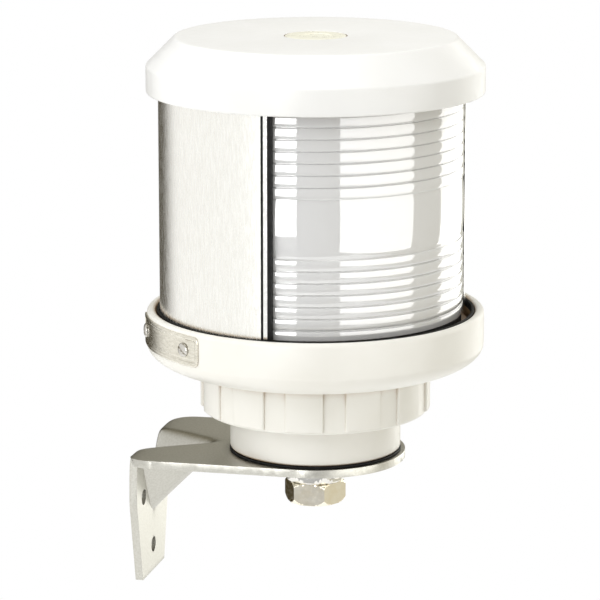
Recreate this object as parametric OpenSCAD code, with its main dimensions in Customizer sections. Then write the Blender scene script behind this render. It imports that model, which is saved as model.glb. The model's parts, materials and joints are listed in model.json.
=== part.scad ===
// Ship's side light on a wall bracket. Millimetres, +Z up.
// Origin: centre of the three wall holes, on the face that meets the wall (x = 0).
// The light stands out along +X, and its window looks ahead along -Y and out along +X.
// Names that end in _h are heights above the bracket's upper face.

/* [Bracket] */
// Distance from the wall to the light's axis
arm = 78; // [77:0.5:90]
// Height of the bracket's upper face above the centre of the wall holes
plate_top = 32.5; // [31:0.5:36]
// Thickness of the bracket's sheet
sheet = 3.5; // [3:0.5:4]
// Radius of the bracket's round end, which is half the width of its plate
plate_r = 39.5; // [39:0.5:42]
// Depth of the wall flange below the bracket's upper face
flange_drop = 61.5; // [59:0.5:70]
// Side of the triangle that the three wall holes make
hole_side = 30; // [26:1:31]
// Diameter of a wall hole
hole_d = 7; // [5.5:0.5:8]

/* [Union ring] */
// Radius of the ring over its grip pads
ring_r = 50.3; // [50:0.1:52]
// Number of grip pads
pads = 12; // [8:1:16]
// Angle that one pad covers
pad_angle = 19; // [12:1:20]

/* [Lantern] */
// Outer radius of the collar that holds the lens
collar_r = 73.5; // [73:0.1:75]
// Radius of the lens over its ribs
lens_r = 64.2; // [64:0.1:64.4]
// Height of the light's centre
light_h = 109.7; // [109:0.1:110]
// Height of one lens rib
rib_pitch = 5.05; // [4.8:0.05:5.05]
// Ribs above the lens's plain middle band, and as many below it
ribs = 7; // [5:1:7]
// Outer radius of the metal shield
shield_r = 67.8; // [67.6:0.1:67.9]
// Direction of the window's forward edge
window_start = -96.6; // [-100:0.2:-92]
// Direction of the window's after edge
window_end = 26; // [22:0.5:30]

/* [Lid] */
// Outer radius of the lid
lid_r = 73; // [72.5:0.1:74]
// Radius of the lid's flat top
lid_top_r = 60.6; // [60.5:0.1:62]
// Height of the lid's lower edge
lid_bottom_h = 158.4; // [158:0.1:159]
// Height of the lid's upright rim
rim_wall = 11.5; // [11:0.5:12]

/* [Hidden] */
$fn = 96;

cream = [0.93, 0.91, 0.85];
steel = [0.80, 0.79, 0.75];
bright = [0.90, 0.90, 0.90];
nickel = [0.86, 0.80, 0.66];
brass = [0.78, 0.62, 0.35];
rubber = [0.06, 0.06, 0.06];
glass = [0.85, 0.88, 0.90, 0.4];
ceramic = [0.92, 0.90, 0.86];

// Bracket
bend_r = 5;
flange_half = 26;
flange_foot = 17.3;
taper_depth = 24;
gusset_leg = 28.5;
gusset_half = 19.5;
gusset_nose = 5;
dent_leg = 32;
dent_half = 20;
dent_nose = 4;
gland_hole_r = 10.25;
foot_screw_circle = 26;
foot_screw_angles = [60, 180, 300];
foot_screw_r = 2.45;
foot_screw_hole_r = 2.75;

// Foot
gasket_t = 1;
foot_r = 37.4;
foot_bore_r = 31;
foot_floor_h = 7;
flange_h = 23.3;
flange_r = 44.6;
flange_top_h = 27.1;
spigot_r = 39.4;
spigot_top_h = 34;
spigot_groove_h = 29.6;
spigot_groove_r = 38;
seal_height = 2.4;
neck_clearance = 0.3;

// Union ring and slip washer
ring_bottom_h = 18.1;
ring_top_h = 37.5;
ring_lip_h = 22.1;
ring_lip_r = 37.8;
ring_bore_r = 46.3;
pad_step = 1.2;
pad_bottom_h = 19.2;
washer_h = 22.2;
washer_t = 1;

// Collar
neck_r = 46;
neck_bore_r = 40;
neck_bottom_h = 28.7;
bowl_bottom_h = 37.8;
bowl_round_r = 50;
bowl_side_h = 48.5;
bowl_floor_h = 42.5;
bowl_r = 60;
seat_h = 57;
groove_h = 54;
groove_inner_r = 66.8;
rim_ledge_h = 60;
rim_ledge_r = 69.3;
collar_top_h = 63.5;
bead_r = 2.1;

// Lens, shield and window edge
lens_bore_r = 60.8;
lens_bottom_h = 62.2;
lens_top_h = 160.5;
lens_plain_r = 63.4;
band_half = 12.65;
rib_depth = 1.2;
rib_lead = 0.35;
shield_t = 0.8;
shield_top_h = 163;
shield_screw_angles = [50, 110, 170, 230];
shield_screw_h = lens_top_h + 0.4;
shield_screw_r = 1.2;
seal_angle = 3.7;
blade_start = 0.95;
blade_angle = 1.45;
edge_bottom_h = 57.1;
edge_top_h = 158.9;

// Lid
lid_t = 2.4;
lid_step_h = lid_bottom_h + rim_wall;
lid_top_h = lid_step_h + lid_r - lid_top_r;
lid_shell = 3;
skirt_r = 66.8;
skirt_inner_r = 64.8;
skirt_bottom_h = 159;
press_h = 162.5;
press_r = 60.3;
plug_r = 13.3;
plug_recess_r = 13.6;
plug_recess = 1;
plug_stem_r = 8.9;
plug_hole_r = 9;
plug_boss_r = 18;
plug_boss_h = lid_top_h - 6.3;
plug_seal_r = 11.3;

// Lamp
post_top_h = 46;
holder_r = 19;
holder_top_h = 66;
post_half = 22;
post_screw_reach = 26;
terminal_y = 5.5;
cap_r = 13.8;
cap_bore_r = 14.1;
cap_bottom_h = 53;
lamp_flange_r = 16.3;
bulb_r = 19;
bulb_neck_r = 12.6;
bulb_neck_h = 74;
bulb_top_h = 138;
bulb_t = 0.8;

// Cable gland
gland_flat = 26.2;
nut_flat = 23.8;
thread_r = 10;
gland_gasket_h = -4.5;
gland_hex_h = -14;
gland_low_h = -20.2;
gland_top_h = 13;
nut_top_h = -14.3;
nut_bottom_h = -24.2;
cable_r = 5.2;

nameplate_angle = -142;
nameplate_half = 23;
nameplate_h = 55.3;
nameplate_height = 13;
nameplate_reach = collar_r * sin(nameplate_half);
nameplate_screw_angles = [nameplate_angle - 16, nameplate_angle + 16];

module on_axis(h = 0) translate([arm, 0, plate_top + h]) children();
module outward(angle, r, h) rotate([0, 0, angle]) translate([r, 0, h]) rotate([0, 90, 0]) children();
module ring(r, bore, h) difference() {
    cylinder(r = r, h = h);
    translate([0, 0, -1]) cylinder(r = bore, h = h + 2);
}
module hexagon(flat, h) cylinder(r = flat / sqrt(3), h = h, $fn = 6);
module section(points, start = 0, angle = 360)
    rotate([0, 0, start]) rotate_extrude(angle = angle, $fn = 144) polygon(points);
function arc(centre, r, from, to, steps = 8) =
    [for (i = [0:steps]) let (a = from + (to - from) * i / steps)
        [centre[0] + r[0] * cos(a), centre[1] + r[1] * sin(a)]];

// ---- Bracket ----

module plate_outline() {
    translate([arm, 0]) circle(r = plate_r);
    translate([-1, -plate_r]) square([arm + 1, 2 * plate_r]);
}

// The sheet's outline, seen along the line that halves the bend: a tapered flange, then
// round corners out to the plate's full width.
module bend_outline()
    let (squeeze = sqrt(0.5), widening = plate_r - flange_half + 0.3, run = widening * squeeze,
         side = concat([[-(flange_drop + 6) * squeeze, flange_foot], [-taper_depth * squeeze, flange_half]],
                       arc([run, flange_half], [run, widening], 180, 90, 8),
                       [[arm + plate_r, plate_r + 0.3]]))
    polygon(concat(side, [for (i = [len(side) - 1:-1:0]) [side[i][0], -side[i][1]]]));

module bent_sheet() difference() {
    union() {
        translate([bend_r, -sheet]) square([arm + plate_r, sheet]);
        translate([0, -flange_drop]) square([sheet, flange_drop - bend_r]);
        translate([bend_r, -bend_r]) circle(r = bend_r);
    }
    translate([bend_r, -bend_r]) circle(r = bend_r - sheet);
    translate([bend_r, -2 * bend_r]) square([bend_r, bend_r]);
    translate([sheet, -2 * bend_r - 1]) square([bend_r, bend_r + 1]);
}

// A rounded crest that runs at 45 degrees across the inside of the bend.
module crest(leg, half, nose, reach) hull() {
    translate([leg / 2 - nose * sqrt(0.5), 0, -leg / 2 + nose * sqrt(0.5)]) rotate([0, 45, 0])
        cylinder(r = nose, h = leg * sqrt(2) + reach, center = true, $fn = 32);
    translate([-reach / 4, 0, reach / 4]) cube([0.2, 2 * half, 0.2], center = true);
}

module gusset() intersection() {
    translate([sheet, 0, -sheet]) crest(gusset_leg, gusset_half, gusset_nose, 6);
    translate([sheet / 2, -plate_r, -flange_drop]) cube([arm, 2 * plate_r, flange_drop - sheet / 2]);
}

module bracket() color(steel) difference() {
    translate([0, 0, plate_top]) difference() {
        union() {
            intersection() {
                translate([0, plate_r + 1, 0]) rotate([90, 0, 0]) linear_extrude(2 * plate_r + 2) bent_sheet();
                translate([0, 0, -flange_drop - 1]) linear_extrude(flange_drop + 2) plate_outline();
                rotate([0, -45, 0]) translate([0, 0, -2 * arm]) linear_extrude(4 * arm) bend_outline();
            }
            gusset();
        }
        crest(dent_leg, dent_half, dent_nose, 6);
        translate([arm, 0, -sheet - 1]) cylinder(r = gland_hole_r, h = sheet + 2);
        for (a = foot_screw_angles)
            translate([arm + foot_screw_circle * cos(a), foot_screw_circle * sin(a), -sheet - 1])
                cylinder(r = foot_screw_hole_r, h = sheet + 2);
    }
    for (a = [30, 150, 270])
        translate([-1, hole_side / sqrt(3) * cos(a), hole_side / sqrt(3) * sin(a)]) rotate([0, 90, 0])
            cylinder(d = hole_d, h = sheet + 2);
}

// ---- Foot and cable gland ----

module foot_gasket() color(rubber) on_axis() difference() {
    ring(foot_r + 0.2, gland_hole_r + 0.6, gasket_t);
    for (a = foot_screw_angles) rotate([0, 0, a]) translate([foot_screw_circle, 0, -1])
        cylinder(r = foot_screw_hole_r, h = gasket_t + 2);
}

module foot() color(cream) on_axis() difference() {
    section([[gland_hole_r, gasket_t], [foot_r - 1, gasket_t], [foot_r, gasket_t + 1],
             [foot_r, flange_h], [flange_r, flange_h], [flange_r, flange_top_h],
             [spigot_r, flange_top_h], [spigot_r, spigot_groove_h],
             [spigot_groove_r, spigot_groove_h], [spigot_groove_r, spigot_groove_h + seal_height],
             [spigot_r, spigot_groove_h + seal_height], [spigot_r, spigot_top_h - 0.8],
             [spigot_r - 0.8, spigot_top_h], [foot_bore_r, spigot_top_h],
             [foot_bore_r, foot_floor_h], [gland_hole_r, foot_floor_h]]);
    for (a = foot_screw_angles) rotate([0, 0, a]) translate([foot_screw_circle, 0, 0])
        cylinder(r = foot_screw_r + 0.05, h = foot_floor_h - 0.6);
    for (side = [-1, 1]) translate([0, side * post_screw_reach, gasket_t + 1])
        cylinder(r = 1.65, h = foot_floor_h);
}

module foot_screws() color(bright) on_axis()
    for (a = foot_screw_angles) rotate([0, 0, a]) translate([foot_screw_circle, 0, -sheet]) {
        difference() {
            translate([0, 0, -3]) cylinder(r = 4.4, h = 3);
            translate([0, 0, -4]) cylinder(r = 2.3, h = 2.5, $fn = 6);
        }
        cylinder(r = foot_screw_r, h = sheet + foot_floor_h - 0.8);
    }

module neck_seal() color(rubber) on_axis(spigot_groove_h)
    ring(neck_bore_r - neck_clearance, spigot_groove_r, seal_height);

module flange_seal() color(rubber) on_axis(flange_top_h)
    ring(flange_r - 0.6, spigot_r + 0.3, neck_bottom_h - flange_top_h - 0.1);

module gland_gasket() color(rubber) on_axis(gland_gasket_h)
    ring(13.4, thread_r + 0.2, -sheet - gland_gasket_h);

module gland_body() color(bright) on_axis() difference() {
    union() {
        intersection() {
            translate([0, 0, gland_hex_h]) hexagon(gland_flat, gland_gasket_h - gland_hex_h);
            section([[0, gland_hex_h], [gland_flat / 2 - 0.6, gland_hex_h],
                     [gland_flat / sqrt(3), gland_hex_h + 3.6],
                     [gland_flat / sqrt(3), gland_gasket_h], [0, gland_gasket_h]]);
        }
        translate([0, 0, gland_low_h]) cylinder(r = thread_r, h = gland_top_h - gland_low_h);
    }
    translate([0, 0, gland_low_h - 1]) cylinder(r = 7.6, h = 9);
    translate([0, 0, gland_low_h]) cylinder(r = cable_r + 0.8, h = gland_top_h - gland_low_h + 1);
}

module gland_locknut() color(bright) on_axis(foot_floor_h + 0.1) difference() {
    hexagon(gland_flat, 4);
    translate([0, 0, -1]) cylinder(r = thread_r + 0.05, h = 6);
}

module gland_seal() color(rubber) on_axis(gland_low_h - 1.2) {
    ring(7.5, cable_r, 8);
    ring(9.4, cable_r, 1);
}

module gland_washer() color(brass) on_axis(gland_low_h - 2.3) ring(9.6, cable_r, 1);

module gland_nut() color(nickel) on_axis() difference() {
    intersection() {
        translate([0, 0, nut_bottom_h]) hexagon(nut_flat, nut_top_h - nut_bottom_h);
        section([[0, nut_bottom_h], [nut_flat / 2 - 0.6, nut_bottom_h], [nut_flat / sqrt(3), nut_bottom_h + 2],
                 [nut_flat / sqrt(3), nut_top_h - 1.2], [nut_flat / 2 + 0.4, nut_top_h], [0, nut_top_h]]);
    }
    translate([0, 0, gland_low_h - 2.5]) cylinder(r = thread_r + 0.3, h = 12);
    translate([0, 0, nut_bottom_h - 1]) cylinder(r = cable_r, h = 6);
}

// ---- Lamp and its holder ----

module holder_post() color(bright) on_axis() difference() {
    union() {
        for (side = [-1, 1]) scale([1, side, 1]) {
            translate([-7, post_half - 2, foot_floor_h]) cube([14, 9.4, 2]);
            translate([-7, post_half - 2, foot_floor_h]) cube([14, 2, post_top_h - foot_floor_h]);
        }
        translate([-7, -post_half, post_top_h - 2]) cube([14, 2 * post_half, 2]);
        translate([0, 0, post_top_h - 2]) cylinder(r = holder_r - 3, h = 2);
    }
    for (side = [-1, 1]) translate([0, side * post_screw_reach, foot_floor_h - 1])
        cylinder(r = 1.8, h = 4);
    translate([0, 0, post_top_h - 3]) cylinder(r = 5, h = 4);
}

module post_screws() color(bright) on_axis()
    for (side = [-1, 1]) translate([0, side * post_screw_reach, 0]) {
        translate([0, 0, foot_floor_h + 2]) cylinder(r = 2.9, h = 2);
        translate([0, 0, gasket_t + 1.4]) cylinder(r = 1.6, h = foot_floor_h + 0.6);
    }

module terminal_block() color(ceramic) on_axis(foot_floor_h) difference() {
    translate([16.5, -11, 0]) cube([11, 22, 13]);
    for (y = [-terminal_y, terminal_y]) {
        translate([22, y, 6]) cylinder(r = 2.2, h = 8);
        translate([15, y, 4.5]) rotate([0, 90, 0]) cylinder(r = 1.8, h = 6);
    }
}

module terminal_screws() color(brass) on_axis(foot_floor_h + 6.1) for (y = [-terminal_y, terminal_y])
    translate([22, y, 0]) difference() {
        cylinder(r = 2, h = 4.6);
        translate([-3, -0.4, 3.8]) cube([6, 0.8, 2]);
    }

// A tube of eight sides swept along points, with a ring square to the run at each point.
module tube(points, r) {
    count = len(points);
    rings = [for (i = [0:count - 1])
        let (run = points[min(i + 1, count - 1)] - points[max(i - 1, 0)],
             ahead = run / norm(run),
             side = cross(ahead, [0, 1, 0]) / norm(cross(ahead, [0, 1, 0])),
             up = cross(side, ahead))
        for (a = [0:45:315]) points[i] + r * (cos(a) * side + sin(a) * up)];
    polyhedron(points = rings, faces = concat(
        [[for (k = [7:-1:0]) k], [for (k = [0:7]) 8 * (count - 1) + k]],
        [for (i = [0:count - 2], k = [0:7])
            [8 * i + k, 8 * i + (k + 1) % 8, 8 * i + 8 + (k + 1) % 8, 8 * i + 8 + k]]));
}

module lamp_wires() color([0.25, 0.2, 0.16]) on_axis() for (side = [-1, 1])
    tube([[15.9, side * terminal_y, foot_floor_h + 4.5], [13.4, side * terminal_y, foot_floor_h + 4.8],
          [12.2, side * 6, foot_floor_h + 8], [11.8, side * 8, 22], [12, side * 9, 34],
          [14, side * 12, 42], [18, side * 12, 47], [20, side * 9, 51], [20, side * 6, 55],
          [19.6, side * 5, 59]], 1);

module lamp_holder() color(ceramic) on_axis() difference() {
    union() {
        translate([0, 0, post_top_h]) cylinder(r = holder_r - 2, h = 3);
        translate([0, 0, post_top_h + 3]) cylinder(r = holder_r - 1, h = holder_top_h - post_top_h - 3);
    }
    translate([0, 0, post_top_h + 4]) cylinder(r = cap_bore_r, h = holder_top_h);
    translate([0, 0, post_top_h - 1]) cylinder(r = 2.1, h = 6);
}

module holder_ring() color(bright) on_axis(holder_top_h) section([
    [cap_bore_r + 0.6, 0], [holder_r, 0], [holder_r, 3.4], [15, 3.4], [15, 2.6],
    [lamp_flange_r + 0.4, 2.6], [lamp_flange_r + 0.4, 0.9], [cap_bore_r + 0.6, 0.9]]);

module holder_contact() color(brass) on_axis(post_top_h) {
    translate([0, 0, 4]) cylinder(r = 6, h = 0.6);
    translate([0, 0, 0]) cylinder(r = 2, h = 5);
    translate([0, 0, 4.6]) cylinder(r = 3.4, h = 0.9);
}

module lamp_cap() color(bright) on_axis() section([
    [6, cap_bottom_h], [cap_r - 1, cap_bottom_h], [cap_r, cap_bottom_h + 1],
    [cap_r, holder_top_h + 1.1], [lamp_flange_r, holder_top_h + 1.1],
    [lamp_flange_r, holder_top_h + 2.2], [cap_r + 0.2, holder_top_h + 2.2],
    [cap_r + 0.2, bulb_neck_h], [cap_r - 0.8, bulb_neck_h], [cap_r - 0.8, cap_bottom_h + 3],
    [6, cap_bottom_h + 3]]);

module lamp_pip() color(brass) on_axis(post_top_h) {
    translate([0, 0, 5.7]) cylinder(r = 3, h = 2);
    translate([0, 0, 7]) cylinder(r = 6, h = 3);
}

function bulb_side(inset) = concat(
    [[bulb_neck_r - inset, bulb_neck_h - 6], [bulb_neck_r - inset, bulb_neck_h + 4]],
    arc([bulb_neck_r + 3.2, bulb_neck_h + 14], [3.2 + inset, 6], 240, 180, 3),
    arc([0, light_h - 4], [bulb_r - inset, 22], -32, 0, 5),
    arc([0, bulb_top_h - bulb_r], [bulb_r - inset, bulb_r - inset], 0, 90, 10));

module lamp_bulb() color(glass) on_axis() difference() {
    section(concat([[0, bulb_neck_h - 6]], bulb_side(0)));
    section(concat([[0, bulb_neck_h - 7], [bulb_neck_r - bulb_t, bulb_neck_h - 7]], bulb_side(bulb_t)));
}

module lamp_filament() color(brass) on_axis() {
    section([[0, bulb_neck_h - 14], [8, bulb_neck_h - 14], [7, bulb_neck_h - 8], [5, bulb_neck_h + 4],
             [0, bulb_neck_h + 4]]);
    translate([-5.8, -1.6, bulb_neck_h + 2]) cube([11.6, 3.2, 12]);
    for (side = [-1, 1]) translate([side * 4.6, 0, bulb_neck_h + 12])
        cylinder(r = 0.45, h = light_h - bulb_neck_h - 12);
    translate([-6, 0, light_h]) rotate([0, 90, 0]) cylinder(r = 1.1, h = 12);
}

// ---- Union ring ----

module slip_washer() color(rubber) on_axis(washer_h) ring(ring_bore_r - 0.5, foot_r + 0.6, washer_t);

module union_ring() color(cream) on_axis() {
    section([[ring_lip_r, ring_bottom_h], [ring_r - pad_step - 1, ring_bottom_h],
             [ring_r - pad_step, ring_bottom_h + 0.8], [ring_r - pad_step, ring_top_h - 0.5],
             [ring_r - pad_step - 0.5, ring_top_h], [ring_bore_r, ring_top_h],
             [ring_bore_r, ring_lip_h], [ring_lip_r, ring_lip_h]]);
    for (i = [0:pads - 1])
        section([[ring_r - pad_step - 0.8, pad_bottom_h], [ring_r - 0.5, pad_bottom_h],
                 [ring_r, pad_bottom_h + 0.6], [ring_r, ring_top_h - 0.9],
                 [ring_r - 0.5, ring_top_h - 0.3], [ring_r - pad_step - 0.8, ring_top_h - 0.3]],
                7.5 + i * 360 / pads - pad_angle / 2, pad_angle);
}

// ---- Lantern ----

module collar() color(cream) on_axis() difference() {
    section(concat(
        [[neck_bore_r, neck_bottom_h], [neck_r - 0.8, neck_bottom_h], [neck_r, neck_bottom_h + 0.8],
         [neck_r, bowl_bottom_h]],
        arc([bowl_round_r, bowl_side_h], [collar_r - bowl_round_r, bowl_side_h - bowl_bottom_h], 270, 360, 12),
        arc([collar_r - bead_r, collar_top_h - bead_r], [bead_r, bead_r], 0, 180, 10),
        [[rim_ledge_r, rim_ledge_h], [shield_r + 0.2, rim_ledge_h], [shield_r + 0.2, groove_h],
         [groove_inner_r, groove_h], [groove_inner_r, seat_h], [bowl_r, seat_h],
         [bowl_r, bowl_floor_h + 2], [bowl_r - 2, bowl_floor_h], [neck_bore_r, bowl_floor_h]]));
    for (a = nameplate_screw_angles) outward(a, collar_r - 4.5, nameplate_h) cylinder(r = 1.3, h = 8);
}

module rim_seal() color(rubber) on_axis(rim_ledge_h)
    ring(rim_ledge_r, shield_r + 0.2, collar_top_h - rim_ledge_h - 0.3);

module lens_seat() color(rubber) on_axis(seat_h) ring(lens_r - 0.6, bowl_r + 0.3, lens_bottom_h - seat_h);

function rib(i) = let (h = band_half + i * rib_pitch)
    [[lens_plain_r - 0.4, h], [lens_r, h + rib_lead], [lens_r - rib_depth, h + rib_pitch - 0.05]];
function rib_side() = [for (i = [0:ribs - 1]) each rib(i)];
function upturned(points) = [for (i = [len(points) - 1:-1:0]) [points[i][0], -points[i][1]]];

module lens() color(glass) on_axis() intersection() {
    translate([0, 0, light_h]) section(concat(
        [[lens_bore_r, lens_bottom_h - light_h - 5], [lens_plain_r, lens_bottom_h - light_h - 5]],
        upturned(rib_side()),
        arc([lens_plain_r, 0], [lens_r - lens_plain_r, band_half - 0.4], -80, 80, 10),
        rib_side(),
        [[lens_plain_r, lens_top_h - light_h], [lens_bore_r, lens_top_h - light_h]]));
    translate([0, 0, lens_bottom_h]) cylinder(r = lens_r + 1, h = lens_top_h - lens_bottom_h);
}

module shield() color(steel) on_axis() difference() {
    section([[shield_r - shield_t, groove_h + 0.2], [shield_r, groove_h + 0.2],
             [shield_r, shield_top_h], [shield_r - shield_t, shield_top_h]],
            window_end, 360 + window_start - window_end);
    for (a = shield_screw_angles) outward(a, shield_r - 3, shield_screw_h)
        cylinder(r = shield_screw_r + 0.2, h = 6);
}

module edge_seal() color(rubber) on_axis() difference() {
    section([[lens_r + 0.4, edge_bottom_h], [shield_r - 0.3, edge_bottom_h],
             [shield_r - 0.3, edge_top_h], [lens_r + 0.4, edge_top_h]],
            window_start, seal_angle);
    section([[lens_r + 0.9, edge_bottom_h - 1], [shield_r + 1, edge_bottom_h - 1],
             [shield_r + 1, edge_top_h + 1], [lens_r + 0.9, edge_top_h + 1]],
            window_start + blade_start, blade_angle);
}

module cutoff_blade() color(bright) on_axis()
    section([[lens_r + 0.9, edge_bottom_h + 0.1], [shield_r, edge_bottom_h + 0.1],
             [shield_r, edge_top_h - 0.1], [lens_r + 0.9, edge_top_h - 0.1]],
            window_start + blade_start, blade_angle);

// ---- Lid ----

module lid_seal() color(rubber) on_axis(lens_top_h)
    ring(skirt_inner_r - 0.2, press_r, press_h - lens_top_h);

function flank_h(r) = lid_top_h + lid_top_r - r - lid_shell * sqrt(2);

module lid() color(cream) on_axis() difference() {
    section(concat(
        [[lid_r - lid_t, lid_bottom_h], [lid_r - 0.7, lid_bottom_h], [lid_r, lid_bottom_h + 0.7]],
        arc([lid_r - 0.8, lid_step_h - 0.3], [0.8, 0.8], 0, 45, 3),
        arc([lid_top_r - 0.4, lid_top_h - 1], [1, 1], 45, 90, 4),
        [[plug_recess_r, lid_top_h], [plug_recess_r, lid_top_h - plug_recess],
         [plug_seal_r, lid_top_h - plug_recess], [plug_seal_r, lid_top_h - plug_recess - 1.2],
         [plug_hole_r, lid_top_h - plug_recess - 1.2], [plug_hole_r, plug_boss_h],
         [plug_boss_r, plug_boss_h], [plug_boss_r + 1, lid_top_h - lid_shell],
         [lid_top_r - lid_shell * 0.4, lid_top_h - lid_shell], [press_r, flank_h(press_r)],
         [press_r, press_h], [skirt_inner_r, press_h], [skirt_inner_r, skirt_bottom_h],
         [skirt_r, skirt_bottom_h], [skirt_r, flank_h(skirt_r)],
         [lid_r - lid_t, flank_h(lid_r - lid_t)]]));
    for (a = shield_screw_angles) outward(a, skirt_inner_r - 1, shield_screw_h)
        cylinder(r = shield_screw_r + 0.05, h = 4);
}

module shield_screws() color(bright) on_axis() for (a = shield_screw_angles)
    outward(a, skirt_inner_r + 0.3, shield_screw_h) {
        cylinder(r = shield_screw_r, h = shield_r - skirt_inner_r - 0.3);
        translate([0, 0, shield_r - skirt_inner_r - 0.3]) cylinder(r = 2.4, h = 1.4);
    }

module lid_plug() color([0.96, 0.95, 0.84]) on_axis() section(concat(
    [[0, plug_boss_h + 0.4], [plug_stem_r - 0.6, plug_boss_h + 0.4], [plug_stem_r, plug_boss_h + 1],
     [plug_stem_r, lid_top_h - plug_recess], [plug_r, lid_top_h - plug_recess]],
    arc([plug_r - 0.5, lid_top_h - 0.55], [0.5, 0.5], 0, 90, 4),
    [[0, lid_top_h - 0.05]]));

module plug_seal() color(rubber) on_axis(lid_top_h - plug_recess - 1.2)
    ring(plug_seal_r - 0.05, plug_hole_r, 1.2);

// ---- Nameplate ----

module plate_shape(inset, low, high) intersection() {
    rotate([0, 0, nameplate_angle]) rotate([90, 0, 90]) linear_extrude(collar_r + 5) hull()
        for (x = [-1, 1], y = [-1, 1])
            translate([x * (nameplate_reach - 2.5), y * (nameplate_height / 2 - 2.5)])
                circle(r = 2.5 - inset, $fn = 24);
    translate([0, 0, -nameplate_height]) ring(high, low, 2 * nameplate_height);
}

module nameplate() color(steel) on_axis(nameplate_h) difference() {
    plate_shape(0, collar_r, collar_r + 0.8);
    difference() {
        plate_shape(0.9, collar_r + 0.5, collar_r + 2);
        for (a = nameplate_screw_angles) outward(a, collar_r - 1, 0) cylinder(r = 4, h = 4);
    }
    for (a = nameplate_screw_angles) outward(a, collar_r - 1, 0) cylinder(r = 1.6, h = 4);
}

module nameplate_screws() color(bright) on_axis(nameplate_h) for (a = nameplate_screw_angles)
    outward(a, collar_r - 4.3, 0) {
        cylinder(r = 1.25, h = 5.2);
        translate([0, 0, 5.1]) intersection() {
            translate([0, 0, -2.6]) sphere(r = 4);
            cylinder(r = 3.1, h = 3);
        }
    }

bracket();
foot_gasket();
foot();
foot_screws();
gland_gasket();
gland_body();
gland_locknut();
gland_seal();
gland_washer();
gland_nut();
holder_post();
post_screws();
terminal_block();
terminal_screws();
lamp_wires();
lamp_holder();
holder_ring();
holder_contact();
lamp_cap();
lamp_pip();
lamp_bulb();
lamp_filament();
flange_seal();
neck_seal();
slip_washer();
union_ring();
collar();
rim_seal();
lens_seat();
lens();
shield();
edge_seal();
cutoff_blade();
lid_seal();
lid();
shield_screws();
lid_plug();
plug_seal();
nameplate();
nameplate_screws();
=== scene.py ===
import json
from math import cos, degrees, hypot, pi, radians, sin, sqrt, tan

import bmesh
import bpy
from mathutils import Matrix, Vector


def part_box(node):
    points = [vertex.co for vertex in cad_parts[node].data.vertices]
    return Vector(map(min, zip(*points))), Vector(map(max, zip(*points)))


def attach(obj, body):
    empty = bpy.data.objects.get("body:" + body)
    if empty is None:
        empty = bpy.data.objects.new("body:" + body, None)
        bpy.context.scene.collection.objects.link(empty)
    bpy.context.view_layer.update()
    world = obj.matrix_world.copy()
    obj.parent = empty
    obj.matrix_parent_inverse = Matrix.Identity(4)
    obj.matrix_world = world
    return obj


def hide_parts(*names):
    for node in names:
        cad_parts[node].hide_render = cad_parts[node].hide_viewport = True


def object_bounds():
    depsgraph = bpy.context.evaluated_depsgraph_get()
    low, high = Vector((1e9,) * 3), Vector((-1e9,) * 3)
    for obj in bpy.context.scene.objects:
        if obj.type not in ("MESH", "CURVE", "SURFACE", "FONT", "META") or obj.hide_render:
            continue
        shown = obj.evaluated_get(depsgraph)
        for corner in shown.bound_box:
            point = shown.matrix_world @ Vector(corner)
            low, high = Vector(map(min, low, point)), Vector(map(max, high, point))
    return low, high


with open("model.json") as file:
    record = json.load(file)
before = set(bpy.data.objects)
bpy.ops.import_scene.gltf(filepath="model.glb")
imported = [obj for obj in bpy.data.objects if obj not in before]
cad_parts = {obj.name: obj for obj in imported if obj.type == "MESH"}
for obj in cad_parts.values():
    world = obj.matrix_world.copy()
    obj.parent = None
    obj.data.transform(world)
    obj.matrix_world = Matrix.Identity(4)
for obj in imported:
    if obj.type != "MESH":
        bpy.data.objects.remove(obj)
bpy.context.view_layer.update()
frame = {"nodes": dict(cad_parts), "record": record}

MM = 0.001

# ---------------------------------------------------------------- places, from the frame

LENS_LOW, LENS_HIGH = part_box("lens")
AXIS_X = (LENS_LOW.x + LENS_HIGH.x) / 2 / MM
PLATE_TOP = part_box("bracket")[1].z / MM
MOUNTS = {mount["name"]: mount for mount in frame["record"]["mounts"]}


def span(node):
    """Lowest and highest height of a node above the bracket's upper face, in millimetres."""
    low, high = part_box(node)
    return low.z / MM - PLATE_TOP, high.z / MM - PLATE_TOP


def radius(node):
    """Half a round node's width across the wall, in millimetres."""
    low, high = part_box(node)
    return (high.y - low.y) / 2 / MM


def at(r, angle, h):
    """A point by radius and direction about the light's axis, and by height."""
    turn = radians(angle)
    return Vector(((AXIS_X + r * cos(turn)) * MM, r * sin(turn) * MM, (PLATE_TOP + h) * MM))


# ---------------------------------------------------------------- mesh helpers

def finish_mesh(name, bm, sharp=32.0):
    """Turns bm into a smooth piece, with the edges over sharp degrees left sharp."""
    bmesh.ops.remove_doubles(bm, verts=bm.verts, dist=1e-7)
    bmesh.ops.recalc_face_normals(bm, faces=bm.faces)
    mesh = bpy.data.meshes.new(name)
    bm.to_mesh(mesh)
    bm.free()
    mesh.polygons.foreach_set("use_smooth", [True] * len(mesh.polygons))
    mesh.set_sharp_from_angle(angle=radians(sharp))
    piece = bpy.data.objects.new(name, mesh)
    bpy.context.scene.collection.objects.link(piece)
    return piece


def rounded(corners, steps=5):
    """A closed outline from (r, h, fillet) corners, with each corner turned into an arc."""
    points = []
    count = len(corners)
    for i, (x, y, *fillet) in enumerate(corners):
        here = Vector((x, y))
        if not fillet or fillet[0] <= 0:
            points.append(here)
            continue
        before = Vector(corners[i - 1][:2]) - here
        after = Vector(corners[(i + 1) % count][:2]) - here
        half = before.angle(after) / 2
        reach = fillet[0] / tan(half)
        start, end = here + before.normalized() * reach, here + after.normalized() * reach
        middle = here + (before.normalized() + after.normalized()).normalized() * (fillet[0] / sin(half))
        for k in range(steps + 1):
            blend = start.lerp(end, k / steps) - middle
            points.append(middle + blend.normalized() * fillet[0])
    return [(p.x, p.y) for p in points]


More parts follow.
